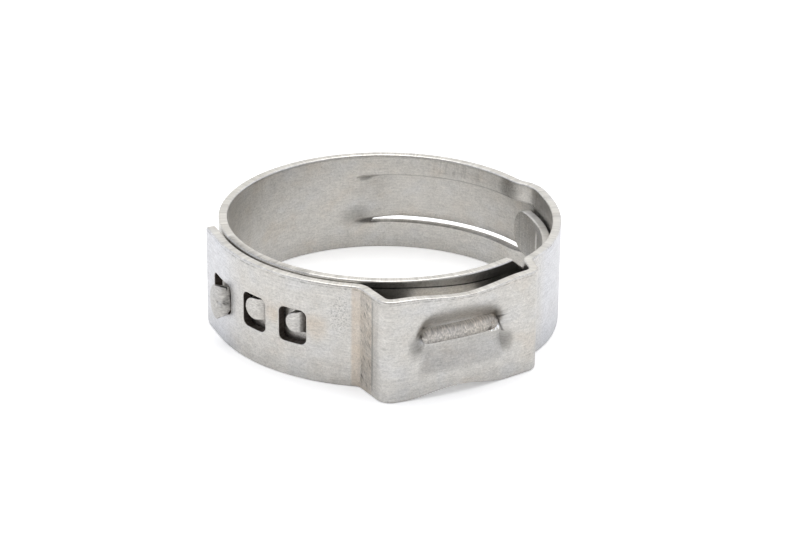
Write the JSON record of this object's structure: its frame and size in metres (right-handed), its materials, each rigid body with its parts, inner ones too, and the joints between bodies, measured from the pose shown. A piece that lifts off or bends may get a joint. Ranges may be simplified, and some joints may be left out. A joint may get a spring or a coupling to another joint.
{
  "type": "ear hose clamp",
  "caption": "Narrow stainless band clamp for hose, folded from one strip: an ear to pinch shut, hooks that catch in windows, and a channel that hides the inner end.",
  "frame": {"origin": "on the axis of the bore, half way across the band's width", "axes": "+Z along the bore, -Y towards the ear, +X towards the step that the inner tongue runs under"},
  "size_m": [0.0236, 0.0257, 0.007],
  "materials": {
    "stainless": "mill finish stainless strip, lightly scratched"
  },
  "bodies": {
    "root": {"clamp_band": "stainless"}
  },
  "joints": []
}
